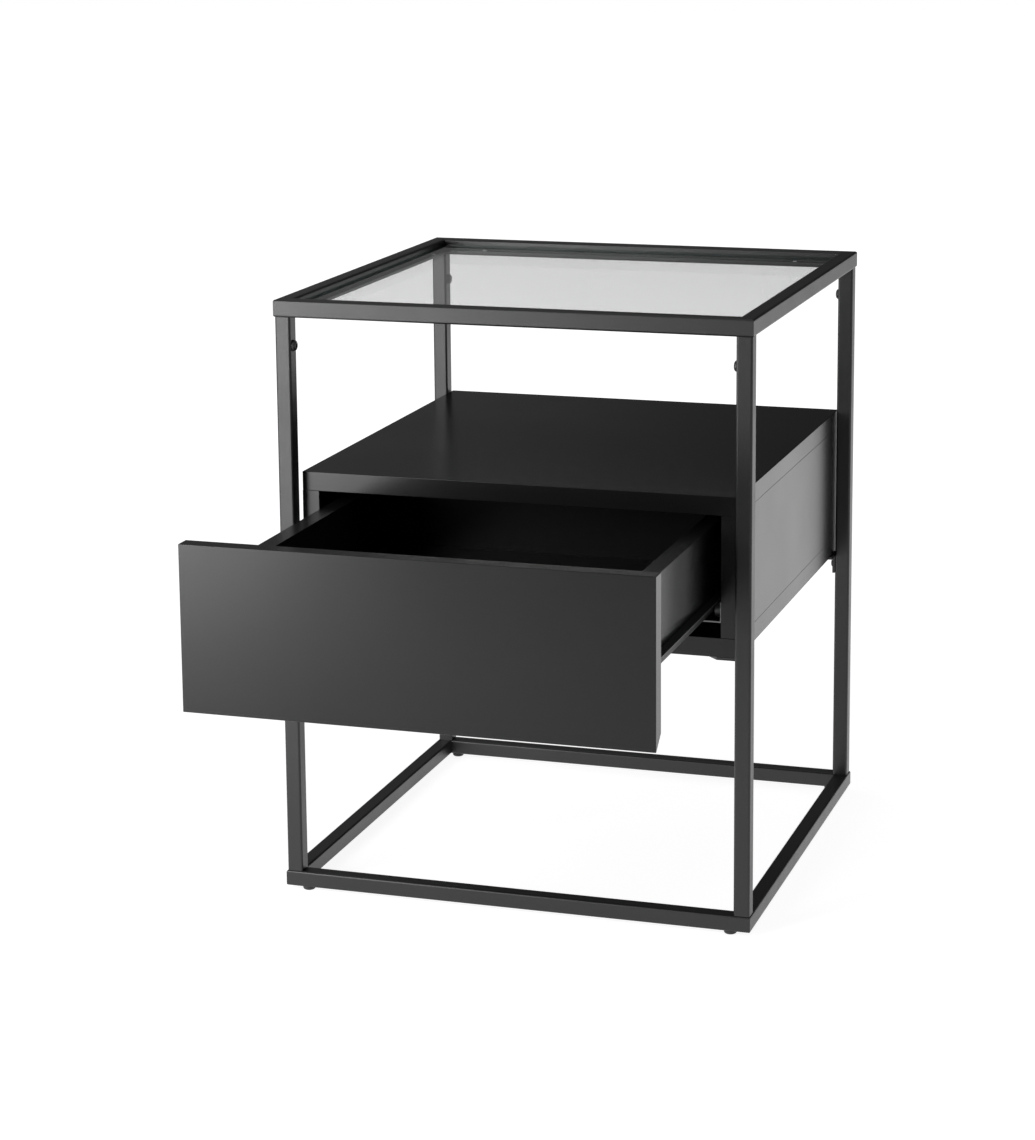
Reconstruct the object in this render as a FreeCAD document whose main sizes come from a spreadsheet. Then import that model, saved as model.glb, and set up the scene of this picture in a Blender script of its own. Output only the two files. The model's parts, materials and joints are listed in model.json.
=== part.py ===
"""Side table with a drawer: a square-tube steel frame, a glass top and a board cabinet that holds one
drawer on roller runners. Millimetres. +X is the user's right, -Y the front, +Z up. The origin is on the
floor, at the middle of the floor area that the table covers with its drawer pulled out."""

import FreeCAD
import Part
import Sketcher
import os

doc = FreeCAD.newDocument("side_table")
sheet = doc.addObject("Spreadsheet::Sheet", "Sizes")

DIMENSIONS = {
    # overall frame
    "table_width": 450,
    "table_depth": 450,
    "tube_size": 15,
    "tube_wall": 1.5,
    "tube_radius": 2,
    "top_rail_height": 16,
    "leg_length": 530,
    "leg_inset": 1,
    # glides under the bottom frame
    "glide_height": 4,
    "glide_diameter": 12,
    "glide_flat_diameter": 7,
    "glide_stem_diameter": 6,
    "glide_stem_length": 7,
    "glide_from_corner": 20,
    # glass and what carries it
    "glass_thickness": 5,
    "glass_drop": 4.5,
    "glass_gap": 1,
    "glass_edge_radius": 0.8,
    "ledge_width": 6,
    "ledge_thickness": 2.5,
    "glass_pad_thickness": 1,
    "glass_pad_diameter": 4.4,
    "glass_pad_from_corner": 60,
    # spigots and screws at the leg tops
    "spigot_length": 42,
    "spigot_clearance": 0.2,
    "leg_screw_drop": 27,
    "leg_screw_diameter": 6,
    "leg_screw_length": 12,
    "leg_screw_head_diameter": 10.5,
    "leg_screw_head_height": 3.2,
    "leg_screw_socket": 4,
    "leg_screw_socket_depth": 2,
    "hole_clearance": 0.2,
    # cabinet
    "cabinet_gap": 1.2,
    "cabinet_setback": 20,
    "cabinet_depth": 428,
    "cabinet_floor_height": 254,
    "cabinet_height": 148,
    "shelf_board": 18,
    "side_board": 16,
    "back_board": 4,
    "back_board_inset": 4,
    "board_edge_radius": 0.6,
    "dowel_diameter": 8,
    "dowel_length": 30,
    "dowel_in_shelf_board": 12,
    "dowel_from_end": 40,
    "cabinet_screw_from_end": 92,
    "cabinet_screw_length": 50,
    "cabinet_screw_diameter": 5,
    "cabinet_screw_head_diameter": 10,
    "cabinet_screw_head_height": 4,
    # angle brackets between the legs and the cabinet
    "bracket_thickness": 2.5,
    "bracket_reach": 30,
    "bracket_outer_inset": 3,
    "bracket_depth": 30,
    "bracket_flange": 17.5,
    "bracket_chamfer": 9,
    "bracket_screw_in": 16,
    "bracket_screw_diameter": 4,
    "bracket_screw_length": 16,
    "bracket_screw_head_diameter": 8,
    "bracket_screw_head_height": 2.4,
    # runners
    "runner_gap": 10,
    "runner_length": 400,
    "drawer_runner_length": 396,
    "runner_thickness": 1.2,
    "runner_setback": 2,
    "runner_height_above_floor": 13.5,
    "cabinet_runner_height": 18.9,
    "cabinet_runner_foot": 19,
    "cabinet_runner_lip": 8,
    "drawer_runner_foot": 14,
    "drawer_runner_height": 12.4,
    "drawer_runner_flange": 8,
    "drawer_runner_tail_height": 5.3,
    "drawer_runner_tail_length": 24,
    "roller_width": 5.6,
    "roller_from_web": 0.8,
    "roller_play": 0.2,
    "cabinet_roller_radius": 9,
    "cabinet_roller_from_end": 13,
    "drawer_roller_radius": 7.7,
    "drawer_roller_from_end": 11,
    "axle_radius": 2,
    "axle_play": 0.06,
    "axle_head_radius": 3,
    "axle_head_height": 0.3,
    "runner_screw_diameter": 3.5,
    "runner_screw_length": 12,
    "runner_screw_head_diameter": 6.4,
    "runner_screw_head_height": 0.5,
    "runner_cutaway": 27,
    "stop_thickness": 3,
    "stop_reach": 4.6,
    "stop_height": 9,
    # drawer
    "drawer_opening": 263,
    "drawer_travel": 300,
    "drawer_front_board": 16,
    "drawer_front_height": 146.5,
    "drawer_front_drop": 3.5,
    "drawer_front_gap": 1,
    "grip_bevel_height": 12,
    "grip_bevel_flat": 1.5,
    "drawer_side_board": 16,
    "drawer_side_height": 76.8,
    "drawer_side_length": 400,
    "drawer_side_clearance": 23.7,
    "drawer_bottom_board": 3,
    "drawer_bottom_height": 10,
    "drawer_groove_depth": 6,
    "drawer_groove_play": 0.2,
    "cam_diameter": 15,
    "cam_depth": 12.5,
    "cam_from_end": 34,
    "cam_slot_width": 1.6,
    "cam_bolt_diameter": 6,
    "cam_bolt_in_front": 11,
    "bumper_diameter": 8,
    "bumper_thickness": 0.9,
}


class Size:
    """A length that knows its value in millimetres and the expression that gives it from the sheet."""

    def __init__(self, value, text):
        self.value = value
        self.text = text

    def __add__(self, other):
        other = as_size(other)
        return Size(self.value + other.value, f"({self.text} + {other.text})")

    def __sub__(self, other):
        other = as_size(other)
        return Size(self.value - other.value, f"({self.text} - {other.text})")

    def __mul__(self, other):
        other = as_size(other)
        return Size(self.value * other.value, f"({self.text} * {other.text})")

    def __truediv__(self, other):
        other = as_size(other)
        return Size(self.value / other.value, f"({self.text} / {other.text})")

    def __neg__(self):
        return Size(-self.value, f"(0 - {self.text})")


def as_size(number):
    return number if isinstance(number, Size) else Size(float(number), repr(float(number)))


def fill_sheet():
    """Writes every driving dimension into the sheet and returns them by name."""
    sizes = {}
    for row, (name, number) in enumerate(DIMENSIONS.items(), 1):
        sheet.set(f"A{row}", name)
        sheet.set(f"B{row}", str(number))
        sheet.setAlias(f"B{row}", name)
        sizes[name] = Size(float(number), f"Sizes.{name}")
    doc.recompute()
    return sizes


S = fill_sheet()
ZERO = as_size(0)

# ---- Places that several pieces share -------------------------------------------------------------

tube = S["tube_size"]
half_width = S["table_width"] / 2

# In Y: the drawer's face at rest is as far in front of the origin as the frame's back is behind it.
face_closed = S["cabinet_setback"] - S["drawer_front_gap"] - S["drawer_front_board"]
drawer_reach = S["drawer_opening"] - face_closed
front_y = (drawer_reach - S["table_depth"]) / 2
back_y = front_y + S["table_depth"]
middle_y = front_y + S["table_depth"] / 2

# In Z, from the floor up.
rail_low = S["glide_height"]
leg_low = rail_low + tube
leg_top = leg_low + S["leg_length"]
frame_top = leg_top + S["top_rail_height"]
glass_high = frame_top - S["glass_drop"]
glass_low = glass_high - S["glass_thickness"]
ledge_top = glass_low - S["glass_pad_thickness"]

leg_outer = half_width - S["leg_inset"]
leg_inner = leg_outer - tube
leg_front = front_y + S["leg_inset"]
leg_rear = leg_front + tube
back_leg_rear = back_y - S["leg_inset"]
back_leg_front = back_leg_rear - tube
back_leg_middle = back_leg_front + tube / 2
leg_middle = leg_inner + tube / 2

cabinet_x = leg_inner - S["cabinet_gap"]
cabinet_inside_x = cabinet_x - S["side_board"]
cabinet_front = front_y + S["cabinet_setback"]
cabinet_rear = cabinet_front + S["cabinet_depth"]
cabinet_low = S["cabinet_floor_height"]
cabinet_high = cabinet_low + S["cabinet_height"]
cabinet_inside_low = cabinet_low + S["shelf_board"]
cabinet_inside_high = cabinet_high - S["shelf_board"]

# Everything on the drawer is placed as pulled out by drawer_opening.
drawer_x = cabinet_inside_x - S["runner_gap"]
drawer_inside_x = drawer_x - S["drawer_side_board"]
drawer_face = front_y - drawer_reach
drawer_box_front = drawer_face + S["drawer_front_board"]
drawer_box_rear = drawer_box_front + S["drawer_side_length"]
drawer_side_low = cabinet_inside_low + S["drawer_side_clearance"]
drawer_side_high = drawer_side_low + S["drawer_side_height"]
drawer_front_low = cabinet_low - S["drawer_front_drop"]
drawer_front_high = drawer_front_low + S["drawer_front_height"]
drawer_bottom_low = drawer_side_low + S["drawer_bottom_height"]
drawer_bottom_high = drawer_bottom_low + S["drawer_bottom_board"]

bracket_low = cabinet_low - S["bracket_thickness"]
bracket_screw_z = bracket_low - S["bracket_flange"] / 2

metal = S["runner_thickness"]
runner_low = cabinet_inside_low + S["runner_height_above_floor"]
runner_front = cabinet_front + S["runner_setback"]
drawer_runner_low = drawer_side_low - metal
drawer_runner_front = drawer_box_front + S["runner_setback"]
drawer_runner_rear = drawer_runner_front + S["drawer_runner_length"]
drawer_flange_low = drawer_runner_low + S["drawer_runner_height"] - metal
cabinet_roller_y = runner_front + S["cabinet_roller_from_end"]
cabinet_roller_z = drawer_flange_low - S["roller_play"] - S["cabinet_roller_radius"]
drawer_roller_y = drawer_runner_rear - S["drawer_roller_from_end"]
drawer_roller_z = runner_low + metal + S["roller_play"] + S["drawer_roller_radius"]
still_to_open = S["drawer_travel"] - S["drawer_opening"]
stop_rear = drawer_roller_y - still_to_open - S["drawer_roller_radius"] - S["roller_play"]

# ---- Building blocks ------------------------------------------------------------------------------

nodes = {}


def bind(thing, prop, size):
    thing.setExpression(prop, size.text)


def keep(name, thing):
    """Makes a finished object a node of its own."""
    thing.Label = name
    nodes[name] = thing
    return thing


def new_body(name):
    body = doc.addObject("PartDesign::Body", name)
    doc.recompute()
    return body


def add_sketch(body, plane, level, loops, circles):
    """A sketch across the axis that `plane` leaves out, at `level` along it. A loop is a list of corner
    points, and a circle is (across, up, radius). Every corner, centre and radius is bound to the sheet."""
    sketch = body.newObject("Sketcher::SketchObject", "profile")
    origin_plane = [f for f in body.Origin.OriginFeatures if f.Role == plane + "_Plane"][0]
    sketch.AttachmentSupport = [(origin_plane, "")]
    sketch.MapMode = "FlatFace"
    bind(sketch, "AttachmentOffset.Base.z", -level if plane == "XZ" else level)
    bound = []

    def fix(kind, geometry, point, size):
        at = (-1, 1, geometry, point) if point else (geometry,)
        bound.append((sketch.addConstraint(Sketcher.Constraint(kind, *at, size.value)), size))

    for loop in loops:
        first = sketch.GeometryCount
        count = len(loop)
        for start, end in zip(loop, loop[1:] + loop[:1]):
            line = [FreeCAD.Vector(x.value, y.value, 0) for x, y in (start, end)]
            sketch.addGeometry(Part.LineSegment(*line), False)
        for i in range(count):
            following = first + (i + 1) % count
            sketch.addConstraint(Sketcher.Constraint("Coincident", first + i, 2, following, 1))
        for i, (x, y) in enumerate(loop):
            fix("DistanceX", first + i, 1, x)
            fix("DistanceY", first + i, 1, y)
    for x, y, radius in circles:
        centre = FreeCAD.Vector(x.value, y.value, 0)
        circle = Part.Circle(centre, FreeCAD.Vector(0, 0, 1), radius.value)
        index = sketch.addGeometry(circle, False)
        fix("DistanceX", index, 3, x)
        fix("DistanceY", index, 3, y)
        fix("Radius", index, 0, radius)
    for index, size in bound:
        bind(sketch, f"Constraints[{index}]", size)
    doc.recompute()
    return sketch


def prism(body, plane, start, end, loops=(), circles=()):
    """Pads the profile from start to end along the axis that `plane` leaves out."""
    pad = body.newObject("PartDesign::Pad", "pad")
    pad.Profile = add_sketch(body, plane, start, loops, circles)
    bind(pad, "Length", end - start)
    pad.Reversed = plane == "XZ"
    body.Tip = pad
    doc.recompute()
    return pad


def cut(body, plane, start, end, loops=(), circles=()):
    """Pockets the profile from start to end along the axis that `plane` leaves out."""
    before = body.Shape.Volume
    pocket = body.newObject("PartDesign::Pocket", "pocket")
    pocket.Profile = add_sketch(body, plane, start, loops, circles)
    bind(pocket, "Length", end - start)
    pocket.Reversed = plane != "XZ"
    body.Tip = pocket
    doc.recompute()
    if body.Shape.Volume > before - 0.01:
        raise RuntimeError(f"a pocket in {body.Name} removed nothing")
    return pocket


def rounded(body, feature, radius, chosen=None):
    """Rounds the feature's edges: all of them, or those for which chosen(edge) is true."""
    names = [
        f"Edge{i}" for i, edge in enumerate(feature.Shape.Edges, 1) if chosen is None or chosen(edge)
    ]
    fillet = body.newObject("PartDesign::Fillet", "rounding")
    fillet.Base = (feature, names)
    bind(fillet, "Radius", radius)
    body.Tip = fillet
    doc.recompute()
    return fillet


def outer_long(shape, axis):
    """Picks the long edges of a bar that lie on the corners of its outline, along axis 0, 1 or 2."""
    box = shape.BoundBox
    low = (box.XMin, box.YMin, box.ZMin)
    high = (box.XMax, box.YMax, box.ZMax)
    across = [a for a in range(3) if a != axis]

    def chosen(edge):
        ends = [vertex.Point for vertex in edge.Vertexes]
        if len(ends) < 2 or abs(ends[0][axis] - ends[1][axis]) < 0.5 * (high[axis] - low[axis]):
            return False
        return all(min(abs(p[a] - low[a]), abs(p[a] - high[a])) < 1e-4 for p in ends for a in across)

    return chosen


def rectangle(x0, x1, y0, y1):
    return [(x0, y0), (x1, y0), (x1, y1), (x0, y1)]


def mirrored(source, name, in_y=False):
    """The source's mirror image in the plane X = 0, or in the frame's middle plane across Y."""
    image = doc.addObject("Part::Mirroring", name)
    image.Source = source
    image.Normal = FreeCAD.Vector(0, 1, 0) if in_y else FreeCAD.Vector(1, 0, 0)
    if in_y:
        bind(image, "Base.y", middle_y)
    return image


def group(name, members):
    """One node of several separate solids, such as identical fasteners."""
    compound = doc.addObject("Part::Compound", name)
    compound.Links = members
    return keep(name, compound)


def both_sides(members, name):
    """The members on the left and their mirror images on the right, as a flat list."""
    return members + [mirrored(member, f"{name}_right_{i}") for i, member in enumerate(members)]


def all_corners(members, name):
    """The members at the front left corner and their images at the other three."""
    rear = [mirrored(member, f"{name}_rear_{i}", in_y=True) for i, member in enumerate(members)]
    return both_sides(members + rear, name)


def board(name, x, y, z, radius=None):
    """A flat board between the pairs x, y and z, with slightly eased edges."""
    body = new_body(name)
    pad = prism(body, "XY", *z, [rectangle(*x, *y)])
    if radius:
        rounded(body, pad, radius)
    return body


def pin(name, plane, x, y, steps):
    """A turned pin along the axis that `plane` leaves out: each step is a radius and where the step
    begins and ends along that axis."""
    body = new_body(name)
    for radius, start, end in steps:
        prism(body, plane, start, end, circles=[(x, y, radius)])
    return body


# ---- Steel frame ----------------------------------------------------------------------------------


def rail_across(name, low, height):
    """The front rail of a frame: a tube along X with both ends mitred."""
    body = new_body(name)
    wall = S["tube_wall"]
    high = low + height
    outside = rectangle(front_y, front_y + tube, low, high)
    inside = rectangle(front_y + wall, front_y + tube - wall, low + wall, high - wall)
    pad = prism(body, "YZ", -half_width, half_width, [outside, inside])
    rounded(body, pad, S["tube_radius"], outer_long(pad.Shape, 0))
    corner_y = front_y + tube
    left = [(-half_width, front_y), (tube - half_width, corner_y), (-half_width, corner_y)]
    right = [(half_width, front_y), (half_width, corner_y), (half_width - tube, corner_y)]
    cut(body, "XY", low, high, [left, right])
    return body


def rail_along(name, low, height):
    """The left rail of a frame: a tube along Y with both ends mitred."""
    body = new_body(name)
    wall = S["tube_wall"]
    high = low + height
    inner_x = tube - half_width
    outside = rectangle(-half_width, inner_x, low, high)
    inside = rectangle(wall - half_width, inner_x - wall, low + wall, high - wall)
    pad = prism(body, "XZ", front_y, back_y, [outside, inside])
    rounded(body, pad, S["tube_radius"], outer_long(pad.Shape, 1))
    near = [(-half_width, front_y), (inner_x, front_y), (inner_x, front_y + tube)]
    far = [(-half_width, back_y), (inner_x, back_y - tube), (inner_x, back_y)]
    cut(body, "XY", low, high, [near, far])
    return body


def top_frame():
    front = keep("top_rail_front", rail_across("top_rail_front", leg_top, S["top_rail_height"]))
    keep("top_rail_back", mirrored(front, "top_rail_back", in_y=True))
    left = keep("top_rail_left", rail_along("top_rail_left", leg_top, S["top_rail_height"]))
    keep("top_rail_right", mirrored(left, "top_rail_right"))


def bottom_frame():
    front = rail_across("bottom_rail_front", rail_low, tube)
    stem = S["glide_stem_diameter"] / 2 + S["hole_clearance"] / 2
    across = half_width - S["glide_from_corner"]
    along = front_y + tube / 2
    holes = [(-across, along, stem), (across, along, stem)]
    cut(front, "XY", rail_low, rail_low + S["tube_wall"], circles=holes)
    keep("bottom_rail_front", front)
    keep("bottom_rail_back", mirrored(front, "bottom_rail_back", in_y=True))
    left = keep("bottom_rail_left", rail_along("bottom_rail_left", rail_low, tube))
    keep("bottom_rail_right", mirrored(left, "bottom_rail_right"))


def foot_glides():
    """Domed plastic glides whose stems press into the bottom frame."""
    x = S["glide_from_corner"] - half_width
    y = front_y + tube / 2
    body = new_body("foot_glide")
    pad = prism(body, "XY", ZERO, rail_low, circles=[(x, y, S["glide_diameter"] / 2)])
    dome = body.newObject("PartDesign::Chamfer", "dome")
    floor_edge = min(range(len(pad.Shape.Edges)), key=lambda i: pad.Shape.Edges[i].BoundBox.ZMax)
    dome.Base = (pad, [f"Edge{floor_edge + 1}"])
    dome.ChamferType = "Two distances"
    bind(dome, "Size", (S["glide_diameter"] - S["glide_flat_diameter"]) / 2)
    bind(dome, "Size2", S["glide_height"] / 2)
    body.Tip = dome
    doc.recompute()
    stem = (x, y, S["glide_stem_diameter"] / 2)
    prism(body, "XY", rail_low, rail_low + S["glide_stem_length"], circles=[stem])
    group("foot_glides", all_corners([body], "foot_glide"))


def leg(name, front, rear):
    """A left leg between the given front and rear faces, with the hole for its upper screw."""
    wall = S["tube_wall"]
    body = new_body(name)
    outside = rectangle(-leg_outer, -leg_inner, front, rear)
    inside = rectangle(wall - leg_outer, -leg_inner - wall, front + wall, rear - wall)
    pad = prism(body, "XY", leg_low, leg_top, [outside, inside])
    rounded(body, pad, S["tube_radius"], outer_long(pad.Shape, 2))
    centre = (front + tube / 2, leg_top - S["leg_screw_drop"], S["leg_screw_diameter"] / 2)
    cut(body, "YZ", -leg_inner - wall, -leg_inner, circles=[centre])
    return body


def legs():
    """The bracket screws enter the front legs from behind and the back legs from inside."""
    wall = S["tube_wall"]
    radius = S["bracket_screw_diameter"] / 2
    front = leg("leg_front_left", leg_front, leg_rear)
    cut(front, "XZ", leg_rear - wall, leg_rear, circles=[(-leg_middle, bracket_screw_z, radius)])
    back = leg("leg_back_left", back_leg_front, back_leg_rear)
    hole = (back_leg_middle, bracket_screw_z, radius)
    cut(back, "YZ", -leg_inner - wall, -leg_inner, circles=[hole])
    keep("leg_front_left", front)
    keep("leg_back_left", back)
    keep("leg_front_right", mirrored(front, "leg_front_right"))
    keep("leg_back_right", mirrored(back, "leg_back_right"))


def leg_spigots():
    """Solid plugs welded under the top frame, which the legs slide over."""
    inset = S["tube_wall"] + S["spigot_clearance"]
    body = new_body("leg_spigot")
    section = rectangle(inset - leg_outer, -leg_inner - inset, leg_front + inset, leg_rear - inset)
    prism(body, "XY", leg_top - S["spigot_length"], leg_top, [section])
    hole = (leg_front + tube / 2, leg_top - S["leg_screw_drop"], S["leg_screw_diameter"] / 2)
    cut(body, "YZ", inset - leg_outer, -leg_inner - inset, circles=[hole])
    group("leg_spigots", all_corners([body], "leg_spigot"))


def leg_screws():
    """Button-head screws with a hexagon socket, through each leg's inner face into its spigot."""
    y = leg_front + tube / 2
    z = leg_top - S["leg_screw_drop"]
    head_end = S["leg_screw_head_height"] - leg_inner
    body = new_body("leg_screw")
    head = prism(body, "YZ", -leg_inner, head_end, circles=[(y, z, S["leg_screw_head_diameter"] / 2)])
    dome = body.newObject("PartDesign::Chamfer", "dome")
    outer_edge = max(range(len(head.Shape.Edges)), key=lambda i: head.Shape.Edges[i].BoundBox.XMin)
    dome.Base = (head, [f"Edge{outer_edge + 1}"])
    dome.ChamferType = "Two distances"
    bind(dome, "Size", S["leg_screw_head_height"] * 0.7)
    bind(dome, "Size2", S["leg_screw_head_diameter"] * 0.2)
    body.Tip = dome
    doc.recompute()
    shank_start = -leg_inner - S["leg_screw_length"]
    prism(body, "YZ", shank_start, -leg_inner, circles=[(y, z, S["leg_screw_diameter"] / 2)])
    across = S["leg_screw_socket"] / 2
    corner = across * (2 / 3**0.5)
    hexagon = [
        (y + corner, z),
        (y + corner / 2, z + across),
        (y - corner / 2, z + across),
        (y - corner, z),
        (y - corner / 2, z - across),
        (y + corner / 2, z - across),
    ]
    cut(body, "YZ", head_end - S["leg_screw_socket_depth"], head_end, [hexagon])
    group("leg_screws", all_corners([body], "leg_screw"))


# ---- Glass top ------------------------------------------------------------------------------------


def glass_ledges():
    """Flat steel strips welded inside the top frame, under the edge of the glass."""
    inner_x = half_width - tube
    inner_front = front_y + tube
    inner_rear = back_y - tube
    z = (ledge_top - S["ledge_thickness"], ledge_top)
    reach = S["ledge_width"]
    strip = board("glass_ledge_front", (-inner_x, inner_x), (inner_front, inner_front + reach), z)
    front = keep("glass_ledge_front", strip)
    keep("glass_ledge_back", mirrored(front, "glass_ledge_back", in_y=True))
    side_y = (inner_front + reach, inner_rear - reach)
    strip = board("glass_ledge_left", (-inner_x, reach - inner_x), side_y, z)
    left = keep("glass_ledge_left", strip)
    keep("glass_ledge_right", mirrored(left, "glass_ledge_right"))


def glass_top():
    x = half_width - tube - S["glass_gap"]
    y = (front_y + tube + S["glass_gap"], back_y - tube - S["glass_gap"])
    keep("glass_top", board("glass_top", (-x, x), y, (glass_low, glass_high), S["glass_edge_radius"]))


def glass_pads():
    """Clear discs between the ledge and the glass, two near each corner."""
    middle = tube + S["ledge_width"] / 2
    radius = S["glass_pad_diameter"] / 2
    away = S["glass_pad_from_corner"]
    disc = [(radius, ledge_top, glass_low)]
    near = pin("glass_pad", "XY", away - half_width, front_y + middle, disc)
    side = pin("glass_pad_side", "XY", middle - half_width, front_y + away, disc)
    group("glass_pads", all_corners([near, side], "glass_pad"))


# ---- Cabinet --------------------------------------------------------------------------------------


def cabinet_joints():
    """Where the dowels and screws that join the cabinet stand, as (x, y) on the left side board."""
    x = -(cabinet_inside_x + S["side_board"] / 2)
    ends = [S["dowel_from_end"], S["cabinet_screw_from_end"]]
    return [[(x, cabinet_front + end), (x, cabinet_rear - end)] for end in ends]


def both_x(points, radius):
    """Circles at the points and at their mirror images in X."""
    return [(side, y, radius) for x, y in points for side in (x, -x)]


def cabinet_boards():
    dowels, screws = cabinet_joints()
    dowel = S["dowel_diameter"] / 2
    in_shelf = S["dowel_in_shelf_board"]
    in_side = S["dowel_length"] - in_shelf
    screw = S["cabinet_screw_diameter"] / 2
    head = S["cabinet_screw_head_diameter"] / 2
    groove_rear = cabinet_rear - S["back_board_inset"]
    groove_front = groove_rear - S["back_board"]
    deep = S["drawer_groove_depth"]
    x = (-cabinet_x, cabinet_x)
    y = (cabinet_front, cabinet_rear)
    eased = S["board_edge_radius"]

    top = board("carcass_top_board", x, y, (cabinet_inside_high, cabinet_high), eased)
    holes = both_x(dowels, dowel)
    cut(top, "XY", cabinet_inside_high, cabinet_inside_high + in_shelf, circles=holes)
    groove_x = cabinet_inside_x + deep
    groove = rectangle(-groove_x, groove_x, groove_front, groove_rear)
    cut(top, "XY", cabinet_inside_high, cabinet_inside_high + deep, [groove])
    keep("carcass_top_board", top)

    floor = board("carcass_bottom_board", x, y, (cabinet_low, cabinet_inside_low), eased)
    cut(floor, "XY", cabinet_inside_low - in_shelf, cabinet_inside_low, circles=holes)
    cut(floor, "XY", cabinet_inside_low - deep, cabinet_inside_low, [groove])
    screw_holes = both_x(screws, screw)
    cut(floor, "XY", cabinet_low, cabinet_inside_low, circles=screw_holes)
    sunk = both_x(screws, head)
    cut(floor, "XY", cabinet_low, cabinet_low + S["cabinet_screw_head_height"], circles=sunk)
    bracket_holes = both_x(bracket_screw_places(), S["bracket_screw_diameter"] / 2)
    depth = S["bracket_screw_length"] - S["bracket_thickness"]
    cut(floor, "XY", cabinet_low, cabinet_low + depth, circles=bracket_holes)
    keep("carcass_bottom_board", floor)

    side_x = (-cabinet_x, -cabinet_inside_x)
    side = board("carcass_left_side", side_x, y, (cabinet_inside_low, cabinet_inside_high))
    here = [(*point, dowel) for point in dowels]
    cut(side, "XY", cabinet_inside_low, cabinet_inside_low + in_side, circles=here)
    cut(side, "XY", cabinet_inside_high - in_side, cabinet_inside_high, circles=here)
    into_side = cabinet_low + S["cabinet_screw_length"]
    screw_here = [(*point, screw) for point in screws]
    cut(side, "XY", cabinet_inside_low, into_side, circles=screw_here)
    groove = rectangle(-groove_x, -cabinet_inside_x, groove_front, groove_rear)
    cut(side, "XY", cabinet_inside_low, cabinet_inside_high, [groove])
    runner_holes = [(y, z, S["runner_screw_diameter"] / 2) for y, z in cabinet_runner_screw_places()]
    depth = S["runner_screw_length"] - metal
    cut(side, "YZ", -cabinet_inside_x - depth, -cabinet_inside_x, circles=runner_holes)
    keep("carcass_left_side", side)
    keep("carcass_right_side", mirrored(side, "carcass_right_side"))

    play = S["drawer_groove_play"]
    back_x = groove_x - play
    back_z = (cabinet_inside_low - deep + play, cabinet_inside_high + deep - play)
    back_y_range = (groove_front, groove_rear)
    keep("carcass_back_board", board("carcass_back_board", (-back_x, back_x), back_y_range, back_z))


def cabinet_fasteners():
    dowels, screws = cabinet_joints()
    radius = S["dowel_diameter"] / 2
    in_shelf = S["dowel_in_shelf_board"]
    pins = []
    for x, y in dowels:
        low = cabinet_inside_low - in_shelf
        pins.append(pin("dowel", "XY", x, y, [(radius, low, low + S["dowel_length"])]))
        high = cabinet_inside_high + in_shelf
        pins.append(pin("dowel", "XY", x, y, [(radius, high - S["dowel_length"], high)]))
    group("carcass_dowels", both_sides(pins, "dowel"))
    under = cabinet_low + S["cabinet_screw_head_height"]
    head = (S["cabinet_screw_head_diameter"] / 2, cabinet_low, under)
    shank = (S["cabinet_screw_diameter"] / 2, under, cabinet_low + S["cabinet_screw_length"])
    pins = [pin("carcass_screw", "XY", x, y, [head, shank]) for x, y in screws]
    group("carcass_screws", both_sides(pins, "carcass_screw"))


def bracket_screw_places():
    """Where the brackets are screwed up into the cabinet, on the left: front and rear."""
    x = -(leg_inner - S["bracket_screw_in"])
    front = cabinet_front + S["bracket_depth"] / 2 + S["bracket_chamfer"] / 2
    rear = cabinet_rear - S["bracket_depth"] / 2 - S["bracket_chamfer"] / 2
    return [(x, front), (x, rear)]


def brackets():
    """Bent steel angles: a flange screwed to the leg and a plate screwed up under the cabinet."""
    thick = S["bracket_thickness"]
    plate_z = (bracket_low, cabinet_low)
    flange_z = (bracket_low - S["bracket_flange"], bracket_low)
    inner_x = leg_inner - S["bracket_reach"]
    chamfer = S["bracket_chamfer"]
    screw = S["bracket_screw_diameter"] / 2
    front_end = cabinet_front + S["bracket_depth"]
    outer_x = leg_outer - S["bracket_outer_inset"]
    places = bracket_screw_places()

    front = new_body("bracket_front_left")
    outline = [
        (-outer_x, leg_rear),
        (-leg_inner, leg_rear),
        (-leg_inner, cabinet_front),
        (-inner_x - chamfer, cabinet_front),
        (-inner_x, cabinet_front + chamfer),
        (-inner_x, front_end),
        (-leg_inner, front_end),
        (-outer_x, leg_rear + tube / 2),
    ]
    prism(front, "XY", *plate_z, [outline])
    flange = rectangle(-outer_x, -leg_inner, leg_rear, leg_rear + thick)
    prism(front, "XY", *flange_z, [flange])
    cut(front, "XY", *plate_z, circles=[(*places[0], screw)])
    hole = (-leg_middle, bracket_screw_z, screw)
    cut(front, "XZ", leg_rear, leg_rear + thick, circles=[hole])
    keep("bracket_front_left", front)
    keep("bracket_front_right", mirrored(front, "bracket_front_right"))

    back = new_body("bracket_back_left")
    back_end = cabinet_rear - S["bracket_depth"]
    outline = [
        (-leg_inner, back_end),
        (-inner_x, back_end),
        (-inner_x, cabinet_rear - chamfer),
        (-inner_x - chamfer, cabinet_rear),
        (-leg_inner, cabinet_rear),
    ]
    prism(back, "XY", *plate_z, [outline])
    flange = rectangle(-leg_inner, thick - leg_inner, back_leg_front, back_leg_rear)
    prism(back, "XY", *flange_z, [flange])
    cut(back, "XY", *plate_z, circles=[(*places[1], screw)])
    hole = (back_leg_middle, bracket_screw_z, screw)
    cut(back, "YZ", -leg_inner, thick - leg_inner, circles=[hole])
    keep("bracket_back_left", back)
    keep("bracket_back_right", mirrored(back, "bracket_back_right"))


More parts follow.
